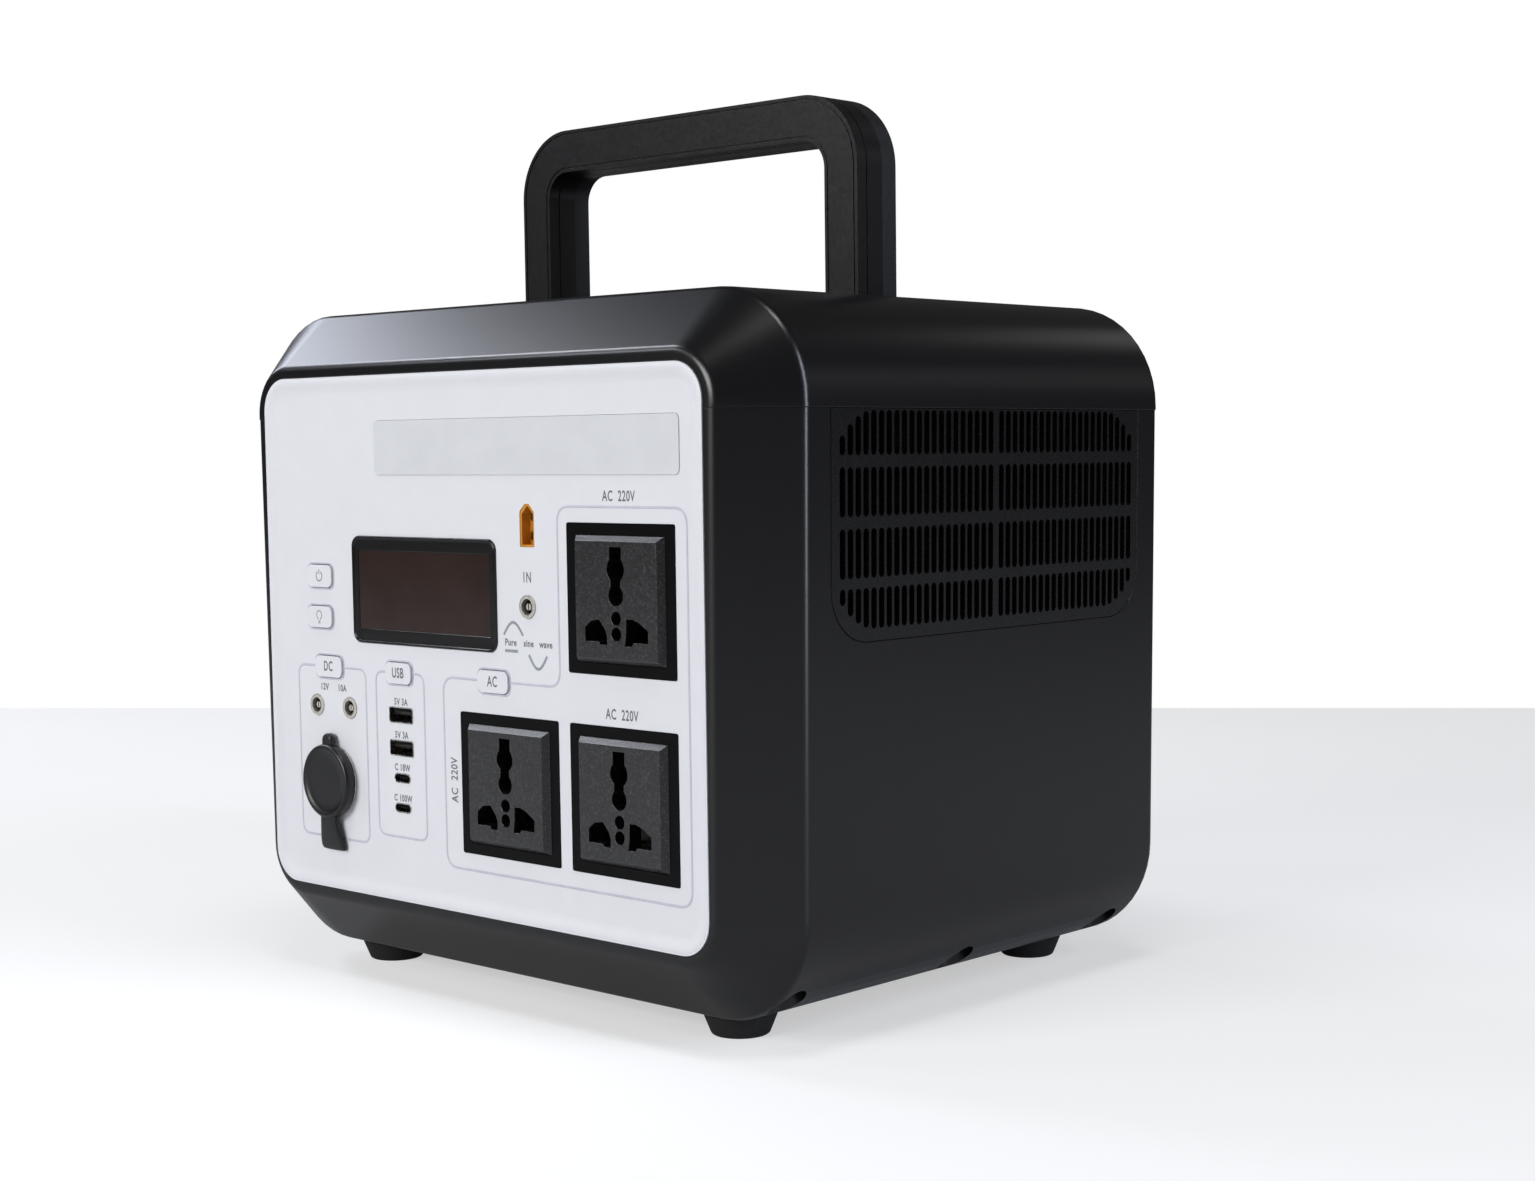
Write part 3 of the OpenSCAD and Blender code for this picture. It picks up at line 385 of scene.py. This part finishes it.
def jack_material():
    """Nickel that is bright at the rim, with painted shade that darkens it down the bore."""
    material, tree, shader = new_material("jack_nickel_bore_shade")
    place = tree.nodes.new("ShaderNodeTexCoord")
    axes = tree.nodes.new("ShaderNodeSeparateXYZ")
    depth = tree.nodes.new("ShaderNodeMapRange")
    depth.inputs["From Min"].default_value = FACE_Y + 0.6 * MM
    depth.inputs["From Max"].default_value = FACE_Y + 2.4 * MM
    tree.links.new(place.outputs["Object"], axes.inputs["Vector"])
    tree.links.new(axes.outputs["Y"], depth.inputs["Value"])
    # Painted shade: the base colour goes from bright nickel at the rim to near black deeper in the bore.
    colour_by(tree, shader, depth.outputs["Result"], srgb(214, 210, 200), srgb(34, 33, 31), 0, 1)
    roughness_by(tree, shader, add_noise(tree, 800), 0.2, 0.28)
    shader.inputs["Metallic"].default_value = 0.6
    return material


def ink_material(name, colour):
    """Flat colour that fades a little from place to place, for printing ink and for the painted shade of the
    raised lines.
    """
    material, tree, shader = new_material(name)
    full = srgb(*colour)
    faded = tuple(0.9 * v for v in full[:3]) + (1,)
    colour_by(tree, shader, add_noise(tree, 400), full, faded)
    shader.inputs["Roughness"].default_value = 0.6
    return material


def make_materials():
    made = {key: moulded(*values) for key, values in PLASTICS.items()}
    made.update({key: moulded(*values, metallic=1) for key, values in METALS.items()})
    made.update({key: ink_material(*values) for key, values in INKS.items()})
    made["outlet"] = moulded(*OUTLET, specular=OUTLET_SPECULAR)
    made["block"] = sparkle_material()
    made["diffuser"] = diffuser_material()
    made["window"] = window_material()
    made["jack"] = jack_material()
    return made


# The CAD pieces that take each material.
NODE_MATERIALS = {
    "case": ["upper_shell", "lower_shell", "rear_panel"],
    "vent": ["vent_grille_right", "vent_grille_left"],
    "handle": ["handle_front_shell"],
    "handle_rear": ["handle_rear_shell"],
    "panel": ["front_panel", "power_button", "light_button", "dc_button", "usb_button", "ac_button"],
    "diffuser": ["light_diffuser"],
    "bezel": ["lcd_bezel", "lcd_module"],
    "window": ["lcd_window"],
    "outlet": ["ac_frames"],
    "block": ["ac_blocks"],
    "brass": ["xt_contacts", "car_socket_contact"],
    # The outlet contacts take brass darkened as painted shade.
    "shaded_brass": ["ac_contacts"],
    "jack": ["dc_jacks", "dc_jack_pins"],
    "nickel": ["usb_a_shells", "usb_c_shells", "car_socket", "cell_strips"],
    "steel": ["chassis_plate", "battery_bracket"],
    "screw": ["handle_screws", "foot_screws", "case_screws", "panel_screws", "fan_screws"],
    "orange": ["xt_housing"],
    "rubber": ["socket_cap", "cap_anchor"],
    "foot": ["rubber_feet"],
    "dark": ["tact_switches", "usb_a_tongues", "usb_c_tongues", "cell_holders", "fan_frames",
             "fan_rotor_front", "fan_rotor_rear"],
    "white": ["led_board"],
    "board": ["control_board", "usb_board", "inverter_board"],
    "blue_board": ["bms_board"],
    "cell": ["battery_cells"],
    "aluminium": ["heatsinks", "capacitors"],
    "core": ["transformer"],
    "copper": ["inductors"],
    "red": ["main_cables"],
}

# Radius of the softened edges, in millimetres, for the pieces that show.
EDGE_RADII = {
    "upper_shell": 0.3,
    "lower_shell": 0.3,
    "front_panel": 0.35,
    "rear_panel": 0.4,
    "handle_front_shell": 1.2,
    "handle_rear_shell": 1.2,
    "rubber_feet": 0.8,
    "light_diffuser": 0.15,
    "vent_grille_right": 0.15,
    "vent_grille_left": 0.15,
    "lcd_bezel": 0.3,
    "lcd_window": 0.1,
    "power_button": 0.3,
    "light_button": 0.3,
    "dc_button": 0.3,
    "usb_button": 0.3,
    "ac_button": 0.3,
    "ac_frames": 0.15,
    "ac_blocks": 0.15,
    "usb_a_shells": 0.1,
    "usb_c_shells": 0.1,
    "dc_jacks": 0.5,
    "dc_jack_pins": 0.3,
    "xt_housing": 0.2,
    "car_socket": 0.3,
    "socket_cap": 0.9,
    "cap_anchor": 0.5,
}

# Points closer than this are welded, and edges sharper than this are softened.
WELD_GAP = 0.01 * MM
SHARP_ANGLE = math.radians(35)
FLAT_WEIGHT = 80


def soften(piece, radius):
    """Rounds the sharp edges a little and keeps the flat faces looking flat."""
    weld = piece.modifiers.new("weld", "WELD")
    weld.merge_threshold = WELD_GAP
    if radius:
        bevel = piece.modifiers.new("soft_edges", "BEVEL")
        bevel.width = radius * MM
        bevel.segments = 3
        bevel.limit_method = "ANGLE"
        bevel.angle_limit = SHARP_ANGLE
        bevel.harden_normals = False
    for polygon in piece.data.polygons:
        polygon.use_smooth = True
    normals = piece.modifiers.new("flat_faces", "WEIGHTED_NORMAL")
    normals.keep_sharp = False
    normals.weight = FLAT_WEIGHT


def dress_cad(materials):
    for key, names in NODE_MATERIALS.items():
        for name in names:
            piece = nodes[name]
            piece.data.materials.clear()
            piece.data.materials.append(materials[key])
            soften(piece, EDGE_RADII.get(name, 0))


# ---------- ways to make a piece ----------

def on_panel(x, z, proud):
    """A point given in millimetres from the panel's middle and lower edge, standing proud of its face."""
    return (x * MM, FACE_Y - proud * MM, PANEL_Z + z * MM)


def add_piece(name, points, faces, material, body):
    mesh = bpy.data.meshes.new(name)
    mesh.from_pydata(points, [], faces)
    mesh.materials.append(material)
    piece = bpy.data.objects.new(name, mesh)
    bpy.context.scene.collection.objects.link(piece)
    if body:
        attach(piece, body)
    return piece


def around(x, z, radius, angle):
    """The point at an angle, in radians, on a circle."""
    return Vector((x + radius * math.cos(angle), z + radius * math.sin(angle)))


def arc(x, z, radius, start, end, steps=16):
    """Points on a circle, from one angle to another, in degrees."""
    return [around(x, z, radius, math.radians(start + (end - start) * s / steps)) for s in range(steps + 1)]


def rounded_rectangle(half_w, low, high, radius):
    path = []
    for x, z, start in ((half_w - radius, high - radius, 0), (radius - half_w, high - radius, 90),
                        (radius - half_w, low + radius, 180), (half_w - radius, low + radius, 270)):
        path += arc(x, z, radius, start, start + 90, 8)
    return path


def rounded_path(corners, radius, closed=False, steps=6):
    """Replaces every inner corner of a path by a small arc."""
    count = len(corners)
    path = []
    for i, corner in enumerate(corners):
        here = Vector(corner)
        if not closed and i in (0, count - 1):
            path.append(here)
            continue
        to_last = (Vector(corners[i - 1]) - here).normalized()
        to_next = (Vector(corners[(i + 1) % count]) - here).normalized()
        start = here + to_last * radius
        end = here + to_next * radius
        for s in range(steps + 1):
            t = s / steps
            path.append(start * (1 - t) ** 2 + here * 2 * t * (1 - t) + end * t ** 2)
    return path


def bead(name, path, width, height, material, body, closed=False, base=0.0):
    """A low raised line that follows a path on the panel: a flat top with two sloping sides."""
    count = len(path)
    profile = [(-0.5, 0), (-0.25, 1), (0.25, 1), (0.5, 0)]
    points = []
    faces = []
    for i, here in enumerate(path):
        before = path[i - 1] if closed or i > 0 else here
        after = path[(i + 1) % count] if closed or i < count - 1 else here
        along = (after - before).normalized()
        side = Vector((-along.y, along.x))
        for across, up in profile:
            place = here + side * across * width
            points.append(on_panel(place.x, place.y, base + up * height))
    rows = count if closed else count - 1
    for i in range(rows):
        a = 4 * i
        b = 4 * ((i + 1) % count)
        for k in range(3):
            faces.append((a + k, a + k + 1, b + k + 1, b + k))
    return add_piece(name, points, faces, material, body)


def stacked_rings(name, rings, material, body, capped=True):
    """A skin over rings of points (x, z, proud) that all have the same number of points."""
    count = len(rings[0])
    points = [on_panel(*p) for ring in rings for p in ring]
    faces = []
    for k in range(len(rings) - 1):
        for i in range(count):
            a = k * count + i
            b = k * count + (i + 1) % count
            faces.append((a, b, b + count, a + count))
    if capped:
        faces.append(tuple(range(count - 1, -1, -1)))
        faces.append(tuple(range((len(rings) - 1) * count, len(rings) * count)))
    piece = add_piece(name, points, faces, material, body)
    for polygon in piece.data.polygons:
        polygon.use_smooth = len(polygon.vertices) == 4
    return piece


def lettering(name, text, x, z, height, material, body, base=INK_H, squeeze=NARROW, turned=False,
              spacing=1.1):
    """Flat printed letters, centred on a point of the panel."""
    curve = bpy.data.curves.new(name, "FONT")
    curve.body = text
    curve.align_x = "CENTER"
    curve.align_y = "CENTER"
    curve.size = height * MM * FONT_PER_HEIGHT
    curve.space_character = spacing
    curve.resolution_u = 3
    curve.offset = LETTER_BOLD
    source = bpy.data.objects.new(name + "_source", curve)
    bpy.context.scene.collection.objects.link(source)
    bpy.context.view_layer.update()
    mesh = bpy.data.meshes.new_from_object(source.evaluated_get(bpy.context.evaluated_depsgraph_get()))
    bpy.data.objects.remove(source)
    for vertex in mesh.vertices:
        across = vertex.co.x * squeeze
        up = vertex.co.y
        if turned:
            across, up = -up, across
        vertex.co = Vector(on_panel(x, z, base)) + Vector((across, 0, up))
    mesh.name = name
    mesh.materials.clear()
    mesh.materials.append(material)
    piece = bpy.data.objects.new(name, mesh)
    bpy.context.scene.collection.objects.link(piece)
    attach(piece, body)
    return piece


# ---------- raised lip and lines of the front panel ----------

def add_lip(material):
    """A soft slope from the panel's raised edge down to its flat face, over the moulded steps."""
    # Distance in from the edge and height over the face, in millimetres.
    slope = [(0.4, 0.7), (0.7, 0.84), (1.3, 0.86), (1.9, 0.84), (2.7, 0.7), (3.5, 0.44), (4.3, 0.2),
             (5.1, 0.06), (5.8, -0.02)]
    rings = []
    for inset, up in slope:
        outline = rounded_rectangle(PANEL_HALF_W - inset, inset, PANEL_H - inset, PANEL_R - inset)
        rings.append([(p.x, p.y, up) for p in outline])
    stacked_rings("panel_lip", rings, material, "case", capped=False)


def group_frame(left, right, low, gap_left, gap_right):
    """A frame at the height of the tab buttons, open between the two gap places."""
    return [(gap_right, TAB_Z), (right, TAB_Z), (right, low), (left, low), (left, TAB_Z), (gap_left, TAB_Z)]


def add_outlines(materials):
    """The raised lines that frame the DC, USB and AC groups, open where the tab button sits."""
    # The AC frame steps up on the right, to go round the upper outlet.
    ac_left, ac_step, ac_right = -14.2, 46, 105.8
    ac_low, ac_high = 15.3, 140
    ac_frame = [(21.2, TAB_Z), (ac_step, TAB_Z), (ac_step, ac_high), (ac_right, ac_high), (ac_right, ac_low),
                (ac_left, ac_low), (ac_left, TAB_Z), (4.2, TAB_Z)]
    groups = {
        "dc_outline": (group_frame(-97.8, -57.8, 18.6, -87.3, -70.3), 4),
        "usb_outline": (group_frame(-51.9, -24.9, 22.7, -46.1, -30.6), 4),
        "ac_outline": (ac_frame, 5.5),
    }
    for name, (corners, radius) in groups.items():
        # The lines take a lavender grey darker than the panel, which is painted shade.
        bead(name, rounded_path(corners, radius), LINE_W, LINE_H, materials["outline"], "case")


# ---------- button rings, marks and labels ----------

def add_button_ring(name, x, z, half_w, half_h, material):
    ring = [(x - half_w, z - half_h), (x + half_w, z - half_h), (x + half_w, z + half_h),
            (x - half_w, z + half_h)]
    # The ring takes the lavender grey of the raised lines, which is painted shade.
    bead(name + "_ring", rounded_path(ring, RING_R, True), RING_W, RING_H, material, "case",
         closed=True)


def add_power_mark(x, z, ink, base):
    """An open circle with a bar that goes up out of it."""
    bar = [Vector((x, z + 0.6)), Vector((x, z + 2.4))]
    bead("power_mark_ring", arc(x, z, 1.75, 120, 420), MARK_W, INK_H, ink, "power_button",
         base=base)
    bead("power_mark_bar", bar, MARK_W, INK_H, ink, "power_button", base=base)


def add_bulb_mark(x, z, ink, base):
    """A bulb open at its neck, with two short lines for its base."""
    neck = 0.6
    bulb = arc(x, z + 0.7, 1.5, -50, 230)
    bulb.insert(0, Vector((x + neck, z - 1.1)))
    bulb.append(Vector((x - neck, z - 1.1)))
    bead("bulb_mark", bulb, FINE_MARK_W, INK_H, ink, "light_button", base=base)
    for k in range(2):
        level = z - 1.6 - 0.6 * k
        bead(f"bulb_base_{k}", [Vector((x - neck, level)), Vector((x + neck, level))], 0.34, INK_H, ink,
             "light_button", base=base)


def add_button_marks(materials):
    """A thin raised ring around every button, and its symbol or letters on the cap."""
    ink = materials["label"]
    base = BUTTON_PROUD + 0.01
    for name in ("power", "light", "dc", "usb", "ac"):
        low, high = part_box(name + "_button")
        x = (low.x + high.x) / 2 / MM
        z = ((low.z + high.z) / 2 - PANEL_Z) / MM
        half_w = (high.x - low.x) / 2 / MM - BUTTON_FLANGE + RING_GAP
        half_h = (high.z - low.z) / 2 / MM - BUTTON_FLANGE + RING_GAP
        add_button_ring(name, x, z, half_w, half_h, materials["outline"])
        if name == "power":
            add_power_mark(x, z, ink, base)
        elif name == "light":
            add_bulb_mark(x, z, ink, base)
        else:
            lettering(name + "_letters", name.upper(), x, z, BUTTON_LETTER_H, ink, name + "_button",
                      base=base + INK_H)


def add_outlet_labels(ink):
    text = "AC  220V"
    lettering("label_outlet_upper", text, 75.3, 143.3, LABEL_H, ink, "case")
    lettering("label_outlet_right", text, 75.2, 73.7, LABEL_H, ink, "case")
    lettering("label_outlet_left", text, -9.1, 45.7, BIG_LABEL_H, ink, "case", turned=True)


def add_port_labels(ink):
    lettering("label_in", "IN", 30.8, 116.3, BIG_LABEL_H, ink, "case", spacing=1.3)
    lettering("label_dc_volts", "12V", -82.3, 73.4, SMALL_LABEL_H, ink, "case", squeeze=BROAD)
    lettering("label_dc_amps", "10A", -71.9, 73.4, SMALL_LABEL_H, ink, "case", squeeze=BROAD)
    ports = [("5V 3A", 70.6), ("5V 3A", 58.9), ("C 18W", 47.4), ("C 100W", 36.5)]
    for k, (text, z) in enumerate(ports):
        lettering(f"label_usb_{k}", text, -38, z, SMALL_LABEL_H, ink, "case", squeeze=MEDIUM)


def half_wave(x, z, width, height, steps=16):
    """Half of a sine wave, that starts at a point and goes up, or down where the height is negative."""
    return [Vector((x + width * s / steps, z + height * math.sin(math.pi * s / steps)))
            for s in range(steps + 1)]


def add_wave_label(ink, wave_ink):
    """The words for the wave form, underlined, between the crest and the trough of a wave."""
    for text, x in (("Pure", 21.8), ("sine", 30.8), ("wave", 39.4)):
        lettering("label_" + text.lower(), text, x, 94.5, WAVE_LABEL_H, ink, "case", squeeze=BROADEST)
    crest = half_wave(18.4, 97, 9.7, 4.3)
    trough = half_wave(30.9, 90.8, 9, -4.5)
    line = [Vector((18.8, 91.7)), Vector((25.4, 91.7))]
    for part, path in (("crest", crest), ("trough", trough), ("line", line)):
        bead("wave_" + part, path, WAVE_W, INK_H, wave_ink, "case")


def add_labels(materials):
    add_outlet_labels(materials["label"])
    add_port_labels(materials["label"])
    add_wave_label(materials["label"], materials["wave"])


# ---------- rubber cap of the car socket ----------

def full_turn(steps):
    """The angles of one turn, in radians."""
    return [2 * math.pi * i / steps for i in range(steps)]


def circle_ring(x, z, radius, proud):
    return [(*around(x, z, radius, angle), proud) for angle in full_turn(CAP_STEPS)]


def add_cap(materials):
    rubber = materials["rubber"]
    # Radius and height over the panel, from the inner face, around the rim, to the dished middle.
    turned = [(3, 1.1), (12.9, 1.1), (13.4, 1.5), (13.5, 2.2), (13.5, 3.8), (13.3, 4.5), (12.8, 4.9),
              (12.2, 5), (11.6, 4.85), (11, 4.5), (10.4, 4.3), (8, 4.3), (4, 4.35), (0.5, 4.4)]
    disc = stacked_rings("cap_disc", [circle_ring(CAP_X, CAP_Z, r, up) for r, up in turned], rubber,
                         "socket_cap")
    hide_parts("socket_cap")
    add_pull_tab(rubber)
    add_strap(rubber)


def add_pull_tab(rubber):
    """A long round-ended ear above the disc, whose lower half is stretched down into the disc."""
    rings = []
    for radius, up in ((2.4, 1.1), (2.8, 1.5), (2.8, 3), (2.5, 3.5), (2, 3.7), (1, 3.5)):
        ring = []
        for angle in full_turn(CAP_STEPS):
            place = around(CAP_X, CAP_Z + CAP_TAB_RISE, radius, angle)
            stretch = CAP_TAB_STRETCH if math.sin(angle) < 0 else 0
            ring.append((place.x, place.y - stretch, up))
        rings.append(ring)
    stacked_rings("cap_tab", rings, rubber, "socket_cap")


def squared(value, power):
    """Keeps the sign of a sine or cosine and makes it fuller, so that a circle gets squarer."""
    return math.copysign(abs(value) ** power, value)


def add_strap(rubber):
    """The strap leaves the disc, narrows, then widens to where it is pushed into the panel."""
    # Height over the panel's lower edge, middle of the strap above the face, half width, half thickness.
    stations = [(30, 2.6, 4.6, 1.1), (27.5, 3.1, 4.4, 1.1), (25, 3.2, 4.5, 1.05), (22.5, 2.9, 5, 1),
                (20, 2.4, 5.8, 0.95), (17.8, 1.9, 6.5, 0.95), (16, 1.5, 6.8, 0.95), (14.7, 1.1, 6.7, 0.9),
                (14.1, 0.8, 6.2, 0.6)]
    rings = []
    for z, middle, half_w, half_t in stations:
        ring = []
        for angle in full_turn(STRAP_STEPS):
            x = squared(math.cos(angle), 0.45) * half_w
            up = squared(math.sin(angle), 0.7) * half_t
            ring.append((CAP_X + x, z, middle + up))
        rings.append(ring)
    strap = stacked_rings("cap_strap", rings, rubber, None)
    strap.modifiers.new("smooth", "SUBSURF").levels = 1
    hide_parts("cap_anchor")
    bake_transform(strap)


materials = make_materials()
add_camera()
add_floor()
add_world()
for light in LIGHTS:
    add_area(*light)
dress_cad(materials)
add_lip(materials["panel"])
add_outlines(materials)
add_button_marks(materials)
add_labels(materials)
add_cap(materials)
